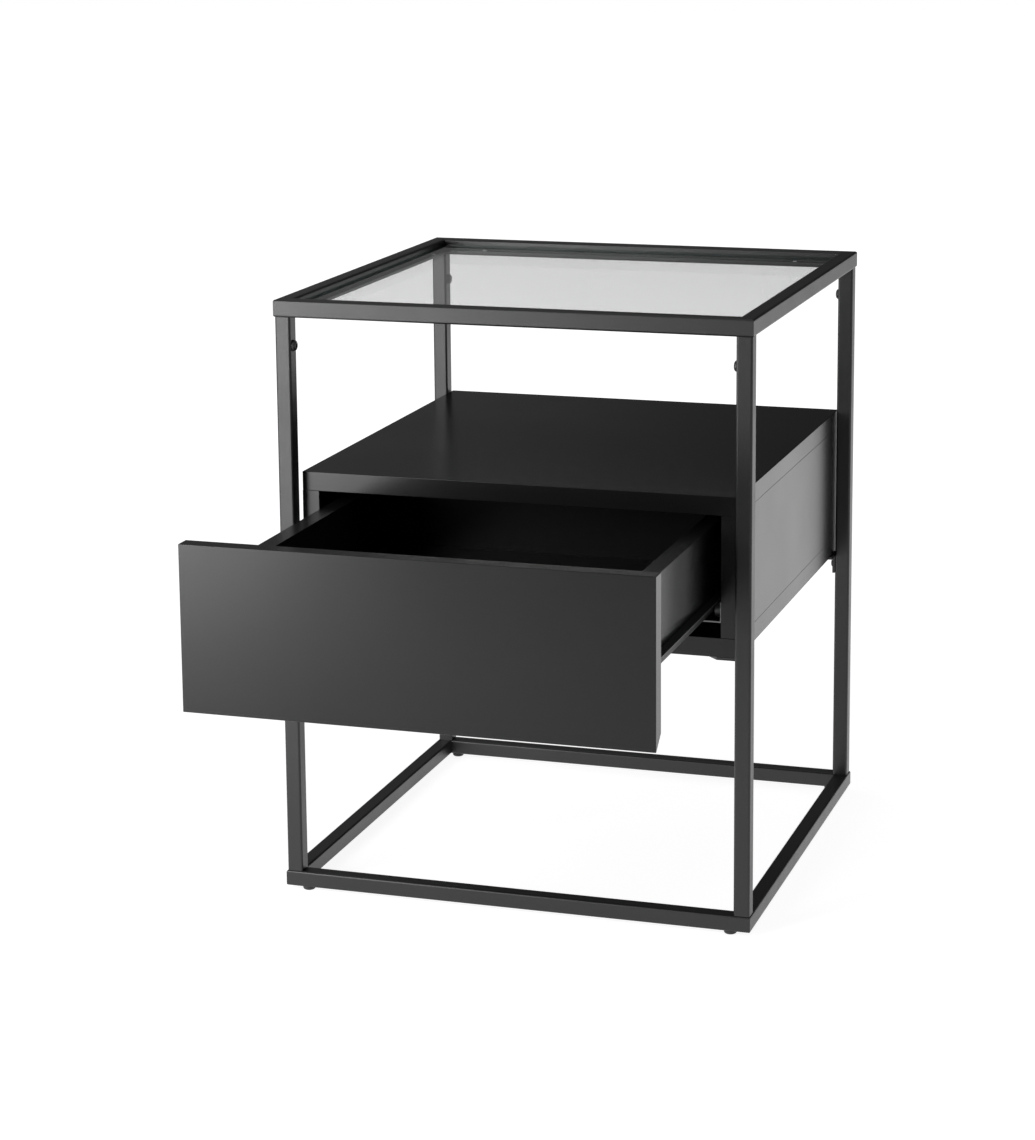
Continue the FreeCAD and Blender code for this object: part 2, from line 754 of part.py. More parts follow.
def bracket_screws():
    thick = S["bracket_thickness"]
    shank = S["bracket_screw_diameter"] / 2
    head = S["bracket_screw_head_diameter"] / 2
    high = S["bracket_screw_head_height"]
    grip = S["leg_screw_length"]
    up = [
        (head, bracket_low - high, bracket_low),
        (shank, bracket_low, bracket_low + S["bracket_screw_length"]),
    ]
    screws = [pin("bracket_screw", "XY", x, y, up) for x, y in bracket_screw_places()]
    face = leg_rear + thick
    forward = [(head, face, face + high), (shank, face - grip, face)]
    screws.append(pin("bracket_screw", "XZ", -leg_middle, bracket_screw_z, forward))
    face = thick - leg_inner
    outward = [(head, face, face + high), (shank, face - grip, face)]
    screws.append(pin("bracket_screw", "YZ", back_leg_middle, bracket_screw_z, outward))
    group("bracket_screws", both_sides(screws, "bracket_screw"))


# ---- Runners --------------------------------------------------------------------------------------


def cabinet_runner_screw_places():
    """Along the left cabinet runner, as (y, z)."""
    z = runner_low + S["cabinet_runner_height"] / 2
    return [(runner_front + S["runner_length"] * share, z) for share in (0.13, 0.5, 0.9)]


def drawer_runner_screw_places():
    """Along the left drawer runner, as (x, y)."""
    x = -(drawer_x - S["drawer_runner_foot"] / 2)
    return [(x, drawer_runner_front + S["drawer_runner_length"] * share) for share in (0.1, 0.5, 0.85)]


def cabinet_runners():
    """A steel channel on the cabinet side: wide foot, web and narrow upper lip, a stop for the rear
    roller, and the lip cut away over the front roller."""
    web = metal - cabinet_inside_x
    foot = S["cabinet_runner_foot"] - cabinet_inside_x
    lip = S["cabinet_runner_lip"] - cabinet_inside_x
    high = runner_low + S["cabinet_runner_height"]
    runner_rear = runner_front + S["runner_length"]
    profile = [
        (-cabinet_inside_x, runner_low),
        (foot, runner_low),
        (foot, runner_low + metal),
        (web, runner_low + metal),
        (web, high - metal),
        (lip, high - metal),
        (lip, high),
        (-cabinet_inside_x, high),
    ]
    body = new_body("cabinet_runner_left")
    prism(body, "XZ", runner_front, runner_rear, [profile])
    cutaway = rectangle(web, lip, high - metal, high)
    cut(body, "XZ", runner_front, runner_front + S["runner_cutaway"], [cutaway])
    stop_middle = runner_low + S["cabinet_runner_height"] / 2
    stop_low = stop_middle - S["stop_height"] / 2
    stop = rectangle(web, web + S["stop_reach"], stop_low, stop_low + S["stop_height"])
    prism(body, "XZ", stop_rear - S["stop_thickness"], stop_rear, [stop])
    holes = [(y, z, S["runner_screw_diameter"] / 2) for y, z in cabinet_runner_screw_places()]
    holes.append((cabinet_roller_y, cabinet_roller_z, S["axle_radius"]))
    cut(body, "YZ", -cabinet_inside_x, web, circles=holes)
    keep("cabinet_runner_left", body)
    keep("cabinet_runner_right", mirrored(body, "cabinet_runner_right"))

    head = (S["runner_screw_head_diameter"] / 2, web, web + S["runner_screw_head_height"])
    shank = (S["runner_screw_diameter"] / 2, web - S["runner_screw_length"], web)
    screws = [pin("screw", "YZ", y, z, [head, shank]) for y, z in cabinet_runner_screw_places()]
    group("cabinet_runner_screws", both_sides(screws, "cabinet_runner_screw"))


def drawer_runners():
    """A steel angle under and beside the drawer side, with an outward flange that rides on the cabinet
    roller and a tail that carries the drawer's own roller."""
    leg_x = -drawer_x - metal
    foot = S["drawer_runner_foot"] - drawer_x
    flange = -drawer_x - S["drawer_runner_flange"]
    high = drawer_runner_low + S["drawer_runner_height"]
    profile = [
        (leg_x, drawer_runner_low),
        (foot, drawer_runner_low),
        (foot, drawer_side_low),
        (-drawer_x, drawer_side_low),
        (-drawer_x, high),
        (flange, high),
        (flange, high - metal),
        (leg_x, high - metal),
    ]
    body = new_body("drawer_runner_left")
    prism(body, "XZ", drawer_runner_front, drawer_runner_rear, [profile])
    tail_low = drawer_runner_low - S["drawer_runner_tail_height"]
    tail = rectangle(leg_x, -drawer_x, tail_low, drawer_side_low)
    tail_front = drawer_runner_rear - S["drawer_runner_tail_length"]
    prism(body, "XZ", tail_front, drawer_runner_rear, [tail])
    holes = [(x, y, S["runner_screw_diameter"] / 2) for x, y in drawer_runner_screw_places()]
    cut(body, "XY", drawer_runner_low, drawer_side_low, circles=holes)
    axle = (drawer_roller_y, drawer_roller_z, S["axle_radius"])
    cut(body, "YZ", leg_x, -drawer_x, circles=[axle])
    keep("drawer_runner_left", body)
    keep("drawer_runner_right", mirrored(body, "drawer_runner_right"))

    low = drawer_runner_low
    head = (S["runner_screw_head_diameter"] / 2, low - S["runner_screw_head_height"], low)
    shank = (S["runner_screw_diameter"] / 2, low, low + S["runner_screw_length"])
    screws = [pin("screw", "XY", x, y, [head, shank]) for x, y in drawer_runner_screw_places()]
    group("drawer_runner_screws", both_sides(screws, "drawer_runner_screw"))


def roller(name, y, z, inner_x, radius):
    """A nylon roller that turns about X, from inner_x outward to the left."""
    bore = S["axle_radius"] + S["axle_play"]
    body = new_body(name + "_left")
    circles = [(y, z, radius), (y, z, bore)]
    prism(body, "YZ", inner_x - S["roller_width"], inner_x, circles=circles)
    keep(name + "_left", body)
    keep(name + "_right", mirrored(body, name + "_right"))


def rollers():
    play = S["axle_play"]
    axle = S["axle_radius"]
    head = S["axle_head_radius"]
    head_height = S["axle_head_height"]
    width = S["roller_width"]

    inner = metal - cabinet_inside_x + S["roller_from_web"] + width
    roller("front_roller", cabinet_roller_y, cabinet_roller_z, inner, S["cabinet_roller_radius"])
    end = inner + play
    steps = [(axle, -cabinet_inside_x, end), (head, end, end + head_height)]
    pins = [pin("axle", "YZ", cabinet_roller_y, cabinet_roller_z, steps)]
    group("front_roller_axles", both_sides(pins, "front_axle"))

    inner = -drawer_x - metal - S["roller_from_web"]
    roller("rear_roller", drawer_roller_y, drawer_roller_z, inner, S["drawer_roller_radius"])
    end = inner - width - play
    steps = [(axle, end, -drawer_x), (head, end - head_height, end)]
    pins = [pin("axle", "YZ", drawer_roller_y, drawer_roller_z, steps)]
    group("rear_roller_axles", both_sides(pins, "rear_axle"))


# ---- Drawer ---------------------------------------------------------------------------------------


def drawer_joints():
    """Heights and centre line of the joints between the drawer's left side and its front."""
    middle = drawer_side_low + S["drawer_side_height"] / 2
    spread = S["drawer_side_height"] / 4
    x = -(drawer_inside_x + S["drawer_side_board"] / 2)
    return x, middle, [middle - spread, middle + spread]


def drawer_front():
    x, middle, heights = drawer_joints()
    body = new_body("drawer_front")
    flat = drawer_face + S["grip_bevel_flat"]
    bevel = drawer_front_low + S["grip_bevel_height"]
    profile = [
        (drawer_face, drawer_front_low),
        (flat, drawer_front_low),
        (drawer_box_front, bevel),
        (drawer_box_front, drawer_front_high),
        (drawer_face, drawer_front_high),
    ]
    pad = prism(body, "YZ", -cabinet_x, cabinet_x, [profile])
    rounded(body, pad, S["board_edge_radius"])
    groove_x = drawer_inside_x + S["drawer_groove_depth"]
    groove_z = [drawer_bottom_low - S["drawer_groove_play"], drawer_bottom_high]
    deep = drawer_box_front - S["drawer_groove_depth"]
    groove = rectangle(-groove_x, groove_x, *groove_z)
    cut(body, "XZ", deep, drawer_box_front, [groove])
    holes = []
    for side in (x, -x):
        holes += [(side, z, S["dowel_diameter"] / 2) for z in heights]
        holes.append((side, middle, S["cam_bolt_diameter"] / 2))
    deep = drawer_box_front - S["cam_bolt_in_front"]
    cut(body, "XZ", deep, drawer_box_front, circles=holes)
    keep("drawer_front", body)


def drawer_sides():
    x, middle, heights = drawer_joints()
    cam_y = drawer_box_front + S["cam_from_end"]
    body = board(
        "drawer_left_side",
        (-drawer_x, -drawer_inside_x),
        (drawer_box_front, drawer_box_rear),
        (drawer_side_low, drawer_side_high),
    )
    groove = rectangle(
        -drawer_inside_x - S["drawer_groove_depth"],
        -drawer_inside_x,
        drawer_bottom_low - S["drawer_groove_play"],
        drawer_bottom_high,
    )
    cut(body, "XZ", drawer_box_front, drawer_box_rear - S["drawer_side_board"] / 2, [groove])
    in_side = S["dowel_length"] - S["cam_bolt_in_front"]
    holes = [(x, z, S["dowel_diameter"] / 2) for z in heights]
    cut(body, "XZ", drawer_box_front, drawer_box_front + in_side, circles=holes)
    bolt = [(x, middle, S["cam_bolt_diameter"] / 2)]
    cut(body, "XZ", drawer_box_front, cam_y, circles=bolt)
    cam = (cam_y, middle, S["cam_diameter"] / 2)
    cut(body, "YZ", -drawer_inside_x - S["cam_depth"], -drawer_inside_x, circles=[cam])
    rear = drawer_box_rear - S["drawer_side_board"] / 2
    screw = S["cabinet_screw_diameter"] / 2
    head = S["cabinet_screw_head_diameter"] / 2
    cut(body, "YZ", -drawer_x, -drawer_inside_x, circles=[(rear, z, screw) for z in heights])
    sunk = -drawer_x + S["cabinet_screw_head_height"]
    cut(body, "YZ", -drawer_x, sunk, circles=[(rear, z, head) for z in heights])
    runner = [(*place, S["runner_screw_diameter"] / 2) for place in drawer_runner_screw_places()]
    depth = S["runner_screw_length"] - metal
    cut(body, "XY", drawer_side_low, drawer_side_low + depth, circles=runner)
    keep("drawer_left_side", body)
    keep("drawer_right_side", mirrored(body, "drawer_right_side"))


def drawer_back_and_bottom():
    x, middle, heights = drawer_joints()
    back_front = drawer_box_rear - S["drawer_side_board"]
    back = board(
        "drawer_back",
        (-drawer_inside_x, drawer_inside_x),
        (back_front, drawer_box_rear),
        (drawer_side_low, drawer_side_high),
    )
    groove_z = [drawer_bottom_low - S["drawer_groove_play"], drawer_bottom_high]
    groove = rectangle(-drawer_inside_x, drawer_inside_x, *groove_z)
    cut(back, "XZ", back_front, back_front + S["drawer_groove_depth"], [groove])
    deep = S["cabinet_screw_length"] - S["drawer_side_board"]
    screw = S["cabinet_screw_diameter"] / 2
    holes = [(drawer_box_rear - S["drawer_side_board"] / 2, z, screw) for z in heights]
    cut(back, "YZ", -drawer_inside_x, deep - drawer_inside_x, circles=holes)
    cut(back, "YZ", drawer_inside_x - deep, drawer_inside_x, circles=holes)
    keep("drawer_back", back)

    inset = S["drawer_groove_depth"] - S["drawer_groove_play"]
    bottom_x = drawer_inside_x + inset
    bottom_y = (drawer_box_front - inset, back_front + inset)
    bottom_z = (drawer_bottom_low, drawer_bottom_high)
    keep("drawer_bottom", board("drawer_bottom", (-bottom_x, bottom_x), bottom_y, bottom_z))


def drawer_fasteners():
    x, middle, heights = drawer_joints()
    into_front = S["cam_bolt_in_front"]
    start = drawer_box_front - into_front
    dowel = [(S["dowel_diameter"] / 2, start, start + S["dowel_length"])]
    pins = [pin("drawer_dowel", "XZ", x, z, dowel) for z in heights]
    group("drawer_dowels", both_sides(pins, "drawer_dowel"))

    cam_y = drawer_box_front + S["cam_from_end"]
    radius = S["cam_diameter"] / 2
    face = -drawer_inside_x
    cam = pin("cam", "YZ", cam_y, middle, [(radius, face - S["cam_depth"], face)])
    slot = S["cam_slot_width"] / 2
    reach = radius * 0.7
    slot_shape = rectangle(cam_y - reach, cam_y + reach, middle - slot, middle + slot)
    cut(cam, "YZ", face - S["cam_slot_width"], face, [slot_shape])
    bolt = pin("cam_bolt", "XZ", x, middle, [(S["cam_bolt_diameter"] / 2, start, cam_y - radius)])
    group("drawer_cams", both_sides([cam], "cam"))
    group("drawer_cam_bolts", both_sides([bolt], "cam_bolt"))

    rear = drawer_box_rear - S["drawer_side_board"] / 2
    under = S["cabinet_screw_head_height"] - drawer_x
    head = (S["cabinet_screw_head_diameter"] / 2, -drawer_x, under)
    shank = (S["cabinet_screw_diameter"] / 2, under, S["cabinet_screw_length"] - drawer_x)
    pins = [pin("drawer_screw", "YZ", rear, z, [head, shank]) for z in heights]
    group("drawer_screws", both_sides(pins, "drawer_screw"))

    radius = S["bumper_diameter"] / 2
    disc = [(radius, drawer_box_front, drawer_box_front + S["bumper_thickness"])]
    bumper_x = -(cabinet_inside_x + S["side_board"] / 2)
    places = [cabinet_inside_low + radius * 2, cabinet_inside_high - radius * 2]
    pins = [pin("bumper", "XZ", bumper_x, z, disc) for z in places]
    group("drawer_bumpers", both_sides(pins, "bumper"))


top_frame()
bottom_frame()
foot_glides()
legs()
leg_spigots()
leg_screws()
glass_ledges()
glass_top()
glass_pads()
cabinet_boards()
cabinet_fasteners()
brackets()
bracket_screws()
cabinet_runners()
drawer_runners()
rollers()
drawer_front()
drawer_sides()
drawer_back_and_bottom()
drawer_fasteners()

doc.recompute()
for thing in doc.Objects:
    if "Invalid" in thing.State or "Error" in thing.State:
        raise RuntimeError(f"{thing.Name} failed: {thing.State}")

os.makedirs("parts", exist_ok=True)
for name, thing in nodes.items():
    shape = thing.Shape
    if shape.isNull() or not shape.isValid():
        raise RuntimeError(f"{name} has no valid shape")
    shape.exportStep(f"parts/{name}.step")
    print(name, len(shape.Solids), round(shape.Volume))
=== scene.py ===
"""The look of the side table with a drawer: materials, small details, light, floor and camera."""
import bpy
import bmesh
import json
import math
from mathutils import Matrix, Vector


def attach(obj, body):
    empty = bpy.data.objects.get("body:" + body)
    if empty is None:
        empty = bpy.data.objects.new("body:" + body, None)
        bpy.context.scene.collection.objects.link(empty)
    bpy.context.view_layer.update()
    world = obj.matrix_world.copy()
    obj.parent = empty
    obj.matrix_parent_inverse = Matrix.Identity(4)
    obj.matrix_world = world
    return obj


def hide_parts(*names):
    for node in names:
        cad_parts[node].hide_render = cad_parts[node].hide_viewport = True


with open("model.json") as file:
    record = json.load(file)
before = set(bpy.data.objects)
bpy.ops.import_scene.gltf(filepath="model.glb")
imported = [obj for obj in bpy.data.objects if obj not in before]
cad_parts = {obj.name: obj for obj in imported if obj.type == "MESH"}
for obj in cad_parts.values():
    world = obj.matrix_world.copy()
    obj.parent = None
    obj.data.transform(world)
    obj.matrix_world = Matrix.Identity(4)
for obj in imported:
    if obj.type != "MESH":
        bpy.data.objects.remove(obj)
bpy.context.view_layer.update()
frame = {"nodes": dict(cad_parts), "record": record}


# ---- Materials ------------------------------------------------------------------------------------


class Nodes:
    """A material's node tree, with short ways to add what these materials share."""

    def __init__(self, name):
        self.material = bpy.data.materials.new(name)
        self.material.use_nodes = True
        self.tree = self.material.node_tree
        self.shader = self.tree.nodes["Principled BSDF"]
        self.place = self.add("ShaderNodeTexCoord").outputs["Object"]

    def add(self, kind, **settings):
        node = self.tree.nodes.new(kind)
        for key, value in settings.items():
            setattr(node, key, value)
        return node

    def link(self, source, target):
        self.tree.links.new(source, target)

    def noise(self, scale, detail=2.0, stretch=None):
        """A noise value; stretch scales the pattern along each axis."""
        node = self.add("ShaderNodeTexNoise")
        node.inputs["Scale"].default_value = scale
        node.inputs["Detail"].default_value = detail
        place = self.place
        if stretch:
            mapping = self.add("ShaderNodeMapping")
            mapping.inputs["Scale"].default_value = stretch
            self.link(self.place, mapping.inputs["Vector"])
            place = mapping.outputs["Vector"]
        self.link(place, node.inputs["Vector"])
        return node.outputs["Fac"]

    def spread(self, value, low, high, start=0.3, end=0.7):
        """Maps a noise value to the range low to high."""
        node = self.add("ShaderNodeMapRange")
        node.inputs["From Min"].default_value = start
        node.inputs["From Max"].default_value = end
        node.inputs["To Min"].default_value = low
        node.inputs["To Max"].default_value = high
        self.link(value, node.inputs["Value"])
        return node.outputs["Result"]

    def colours(self, value, first, second, start=0.3, end=0.7):
        """Runs from the first colour to the second as the value rises."""
        ramp = self.add("ShaderNodeValToRGB")
        ramp.color_ramp.elements[0].position = start
        ramp.color_ramp.elements[1].position = end
        ramp.color_ramp.elements[0].color = (*first, 1)
        ramp.color_ramp.elements[1].color = (*second, 1)
        self.link(value, ramp.inputs["Fac"])
        return ramp.outputs["Color"]

    def bump(self, value, strength, distance, over=None):
        node = self.add("ShaderNodeBump")
        node.inputs["Strength"].default_value = strength
        node.inputs["Distance"].default_value = distance
        self.link(value, node.inputs["Height"])
        if over:
            self.link(over, node.inputs["Normal"])
        self.link(node.outputs["Normal"], self.shader.inputs["Normal"])
        return node.outputs["Normal"]

    def set(self, **values):
        for name, value in values.items():
            self.shader.inputs[name.replace("_", " ")].default_value = value


def grey(level, tint=0.0):
    """A grey, slightly bluer as the tint rises."""
    return (level, level, level * (1 + tint))


def coating(n, level, patch=9, detail=3, tint=0.02):
    """A near-even coat that is a little lighter in some patches than in others."""
    return n.colours(n.noise(patch, detail), grey(level * 0.85, tint), grey(level * 1.15, tint + 0.02))


def roughen(n, roughness, patch, detail=2, less=0.015, more=0.02):
    """Roughness that varies a little from patch to patch."""
    n.link(n.spread(n.noise(patch, detail), roughness - less, roughness + more), n.shader.inputs["Roughness"])


def powder_coat(name, level, roughness):
    """Baked powder coat: an even black with a very fine orange peel."""
    n = Nodes(name)
    n.link(coating(n, level), n.shader.inputs["Base Color"])
    roughen(n, roughness, patch=30)
    peel = n.bump(n.noise(900, detail=2), strength=0.16, distance=0.0004)
    n.bump(n.noise(3600, detail=1), strength=0.12, distance=0.0001, over=peel)
    n.set(Specular_IOR_Level=0.56)
    return n.material


def coated_sheet(name, level, roughness, bare):
    """Black-coated steel strip. The ends cut across its length, along Y, are bare and so paler."""
    n = Nodes(name)
    shape = n.add("ShaderNodeNewGeometry")
    parts = n.add("ShaderNodeSeparateXYZ")
    along = n.add("ShaderNodeMath", operation="ABSOLUTE")
    n.link(shape.outputs["True Normal"], parts.inputs[0])
    n.link(parts.outputs["Y"], along.inputs[0])
    cut = n.spread(along.outputs[0], 0.0, 1.0, start=0.9, end=0.98)
    steel = n.colours(n.noise(400, detail=3), grey(bare * 0.8), grey(bare * 1.15))
    # A colour mix takes its colours at sockets 6 and 7 and gives one out at socket 2.
    mix = n.add("ShaderNodeMix", data_type="RGBA")
    n.link(cut, mix.inputs[0])
    n.link(coating(n, level), mix.inputs[6])
    n.link(steel, mix.inputs[7])
    n.link(mix.outputs[2], n.shader.inputs["Base Color"])
    n.link(cut, n.shader.inputs["Metallic"])
    roughen(n, roughness, patch=30)
    n.bump(n.noise(900, detail=2), strength=0.16, distance=0.0004)
    n.set(Specular_IOR_Level=0.56)
    return n.material


def laminate(name, level, roughness):
    """Melamine-faced board: satin black with a fine pressed texture."""
    n = Nodes(name)
    n.link(coating(n, level, patch=5, detail=4, tint=0.03), n.shader.inputs["Base Color"])
    roughen(n, roughness, patch=11, less=0.012)
    n.bump(n.noise(700, detail=1), strength=0.03, distance=0.0001)
    n.set(Specular_IOR_Level=0.36)
    return n.material


GLASS_INDEX = 1.5


def glass(name, mirror):
    """Clear sheet glass that does not bend rays.

    Its large faces mirror more when seen at a low angle; its narrow edges only tint what is behind them.
    """
    n = Nodes(name)
    shine = n.colours(n.noise(3, detail=2), (0.963, 0.966, 0.965), (0.98, 0.982, 0.981))
    n.link(shine, n.shader.inputs["Base Color"])
    n.set(Metallic=1.0)
    shape = n.add("ShaderNodeNewGeometry")
    # Seen from inside the pane, the index is the inverse.
    index = n.add("ShaderNodeMath", operation="MULTIPLY_ADD")
    index.inputs[1].default_value = 1 / GLASS_INDEX - GLASS_INDEX
    index.inputs[2].default_value = GLASS_INDEX
    n.link(shape.outputs["Backfacing"], index.inputs[0])
    fresnel = n.add("ShaderNodeFresnel")
    n.link(index.outputs[0], fresnel.inputs["IOR"])
    amount = n.add("ShaderNodeMath", operation="MULTIPLY")
    amount.inputs[1].default_value = mirror
    n.link(fresnel.outputs[0], amount.inputs[0])
    parts = n.add("ShaderNodeSeparateXYZ")
    flat = n.add("ShaderNodeMath", operation="ABSOLUTE")
    n.link(shape.outputs["Normal"], parts.inputs[0])
    n.link(parts.outputs["Z"], flat.inputs[0])
    n.link(n.spread(n.noise(6, detail=3), 0.01, 0.025), n.shader.inputs["Roughness"])
    total = n.add("ShaderNodeMath", operation="MULTIPLY")
    n.link(amount.outputs[0], total.inputs[0])
    n.link(n.spread(flat.outputs[0], 0.0, 1.0, start=0.3, end=0.9), total.inputs[1])
    straight = n.add("ShaderNodeBsdfTransparent")
    tint = n.colours(flat.outputs[0], (0.64, 0.71, 0.69), (0.984, 0.987, 0.986), start=0.2, end=0.8)
    n.link(tint, straight.inputs["Color"])
    mix = n.add("ShaderNodeMixShader")
    n.link(total.outputs[0], mix.inputs[0])
    n.link(straight.outputs[0], mix.inputs[1])
    n.link(n.shader.outputs[0], mix.inputs[2])
    n.link(mix.outputs[0], n.tree.nodes["Material Output"].inputs[0])
    return n.material


def zinc(name, level, roughness):
    """Zinc-plated sheet, with drawn streaks along Y and a faint cloudy tone."""
    n = Nodes(name)
    streak = n.noise(260, detail=3, stretch=(4, 0.06, 4))
    tone = n.colours(streak, grey(level * 0.85, 0.02), grey(level * 1.1, 0.04))
    n.link(tone, n.shader.inputs["Base Color"])
    roughen(n, roughness, patch=40, detail=4, less=0.07, more=0.1)
    n.bump(streak, strength=0.12, distance=0.0002)
    n.set(Metallic=1.0)
    return n.material


def plastic(name, colour, roughness):
    """Moulded plastic with a fine grain."""
    n = Nodes(name)
    darker = [c * 0.88 for c in colour]
    n.link(n.colours(n.noise(60, detail=3), darker, colour), n.shader.inputs["Base Color"])
    roughen(n, roughness, patch=90, detail=3, less=0.05, more=0.06)
    n.bump(n.noise(700, detail=2), strength=0.1, distance=0.0003)
    return n.material


def wood(name):
    """Turned hardwood with its grain along Y."""
    n = Nodes(name)
    grain = n.noise(220, detail=5, stretch=(1, 0.12, 1))
    n.link(n.colours(grain, (0.45, 0.31, 0.18), (0.66, 0.5, 0.32)), n.shader.inputs["Base Color"])
    n.link(n.spread(grain, 0.5, 0.7), n.shader.inputs["Roughness"])
    n.bump(grain, strength=0.2, distance=0.0004)
    return n.material


STEEL = powder_coat("black_powder_coat", level=0.014, roughness=0.36)
BOARD = laminate("black_laminate", level=0.008, roughness=0.25)
PANEL = laminate("black_panel", level=0.016, roughness=0.5)
GLASS = glass("clear_glass", mirror=0.65)
RUNNER = coated_sheet("black_coated_sheet", level=0.02, roughness=0.4, bare=0.17)
SCREW = zinc("zinc_screw", level=0.6, roughness=0.3)
CAM = zinc("cast_zinc", level=0.5, roughness=0.45)
BLACK_SCREW = powder_coat("blackened_screw", level=0.04, roughness=0.3)
NYLON = plastic("black_nylon", colour=(0.03, 0.03, 0.031), roughness=0.38)
GLIDE = plastic("black_plastic", colour=(0.035, 0.035, 0.036), roughness=0.45)
PAD = plastic("clear_soft_plastic", colour=(0.75, 0.76, 0.75), roughness=0.4)
WOOD = wood("hardwood_dowel")

BY_SLOT = {
    "black_steel": STEEL,
    "black_board": BOARD,
    "panel": PANEL,
    "glass": GLASS,
    "clear_pad": PAD,
    "black_screw": BLACK_SCREW,
    "dowel_wood": WOOD,
    "screw_steel": SCREW,
    "cam_zinc": CAM,
    "runner_steel": RUNNER,
    "nylon": NYLON,
    "glide_plastic": GLIDE,
}

slot_of = {part["node"]: part["material_slot"] for part in frame["record"]["subparts"]}
for name, thing in frame["nodes"].items():
    thing.data.materials.clear()
    thing.data.materials.append(BY_SLOT[slot_of[name]])


# ---- Small parts in mesh code ---------------------------------------------------------------------
#
# Each is turned or cut from its own outline, in millimetres, with its axis along local Z. The axles are
# given as their depth and height.

MM = 0.001
UP, DOWN = Vector((0, 0, 1)), Vector((0, 0, -1))
LEFT, RIGHT = Vector((-1, 0, 0)), Vector((1, 0, 0))
BACKWARD = Vector((0, 1, 0))
SIDES = (-1, 1)
FRONT_AXLE = (-60, 296.5)
REAR_AXLE = (48, 294.6)
EASED_ANGLE = math.radians(50)
SMOOTH_ANGLE = math.radians(32)


def arc(middle_r, middle_z, size_r, size_z, start, end, steps):
    """Outline points on an ellipse quarter or less, as (radius, height)."""
    points = []
    for step in range(steps + 1):
        angle = math.radians(start + (end - start) * step / steps)
        points.append((middle_r + size_r * math.cos(angle), middle_z + size_z * math.sin(angle)))
    return points


def turned(outline, sides=40):
    """A solid of revolution; an outline point of radius 0 closes an end."""
    bm = bmesh.new()
    rings = []
    for radius, height in outline:
        if radius == 0:
            rings.append([bm.verts.new((0, 0, height))])
            continue
        turn = [2 * math.pi * k / sides for k in range(sides)]
        rings.append([bm.verts.new((radius * math.cos(t), radius * math.sin(t), height)) for t in turn])
    pairs = list(zip(rings, rings[1:]))
    if outline[0][0] and outline[-1][0]:
        pairs.append((rings[-1], rings[0]))
    for low, high in pairs:
        for k in range(sides):
            after = (k + 1) % sides
            around = [low[k % len(low)], low[after % len(low)], high[after % len(high)], high[k % len(high)]]
            corners = list(dict.fromkeys(around))
            if len(corners) > 2:
                bm.faces.new(corners)
    bmesh.ops.recalc_face_normals(bm, faces=bm.faces)
    return bm


def prism(points, low, high):
    """A straight prism over a closed outline of (x, y) points."""
    bm = bmesh.new()
    base = bm.faces.new([bm.verts.new((x, y, low)) for x, y in points])
    lifted = bmesh.ops.extrude_face_region(bm, geom=[base])["geom"]
    corners = [item for item in lifted if isinstance(item, bmesh.types.BMVert)]
    bmesh.ops.translate(bm, vec=(0, 0, high - low), verts=corners)
    bmesh.ops.recalc_face_normals(bm, faces=bm.faces)
    return bm


def hexagon(across):
    """A hexagon's outline, from its width across the flats."""
    corner = across / math.sqrt(3)
    turns = [math.radians(angle) for angle in range(0, 360, 60)]
    return [(corner * math.cos(turn), corner * math.sin(turn)) for turn in turns]


def cross(length, width):
    """A cross's outline: the same arm turned four times by a right angle."""
    a, b = length / 2, width / 2
    arm = [(a, -b), (a, b), (b, b)]
    turned_arms = []
    for quarter in range(4):
        turned_arms += arm
        arm = [(-y, x) for x, y in arm]
    return turned_arms


def scratch_object(bm):
    """A passing object, only there for its modifiers."""
    mesh = bpy.data.meshes.new("scratch")
    bm.to_mesh(mesh)
    bm.free()
    thing = bpy.data.objects.new("scratch", mesh)
    bpy.context.scene.collection.objects.link(thing)
    return thing


def carved(solid, cutters, ease=0.0):
    """The solid less its cutters, with the rims eased; comes back as a bmesh."""
    thing = scratch_object(solid)
    tools = [scratch_object(cutter) for cutter in cutters]
    for tool in tools:
        less = thing.modifiers.new("cut", "BOOLEAN")
        less.operation = "DIFFERENCE"
        less.solver = "EXACT"
        less.object = tool
    if ease:
        soften = thing.modifiers.new("ease", "BEVEL")
        soften.width = ease
        soften.segments = 2
        soften.limit_method = "ANGLE"
        soften.angle_limit = EASED_ANGLE
    bpy.context.view_layer.update()
    shown = thing.evaluated_get(bpy.context.evaluated_depsgraph_get())
    result = bmesh.new()
    result.from_mesh(shown.to_mesh())
    shown.to_mesh_clear()
    for old in [thing] + tools:
        mesh = old.data
        bpy.data.objects.remove(old)
        bpy.data.meshes.remove(mesh)
    return result


def piece(name, body, slot, solid, places, replaces):
    """One object with a copy of the solid at each (point in mm, direction of local Z, turn in degrees)."""
    source = bpy.data.meshes.new("source")
    solid.to_mesh(source)
    solid.free()
    total = bmesh.new()
    for point, direction, turn in places:
        start = len(total.verts)
        total.from_mesh(source)
        total.verts.ensure_lookup_table()
        aim = direction.to_track_quat("Z", "Y").to_matrix().to_4x4()
        move = Matrix.Translation(Vector(point) * MM) @ aim @ Matrix.Rotation(math.radians(turn), 4, "Z")
        bmesh.ops.transform(total, matrix=move @ Matrix.Scale(MM, 4), verts=total.verts[start:])
    for face in total.faces:
        face.smooth = True
    for edge in total.edges:
        edge.smooth = len(edge.link_faces) == 2 and edge.calc_face_angle(0) < SMOOTH_ANGLE
    mesh = bpy.data.meshes.new(name)
    total.to_mesh(mesh)
    total.free()
    bpy.data.meshes.remove(source)
    mesh.materials.append(BY_SLOT[slot])
    thing = bpy.data.objects.new(name, mesh)
    bpy.context.scene.collection.objects.link(thing)
    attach(thing, body)
    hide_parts(*replaces)


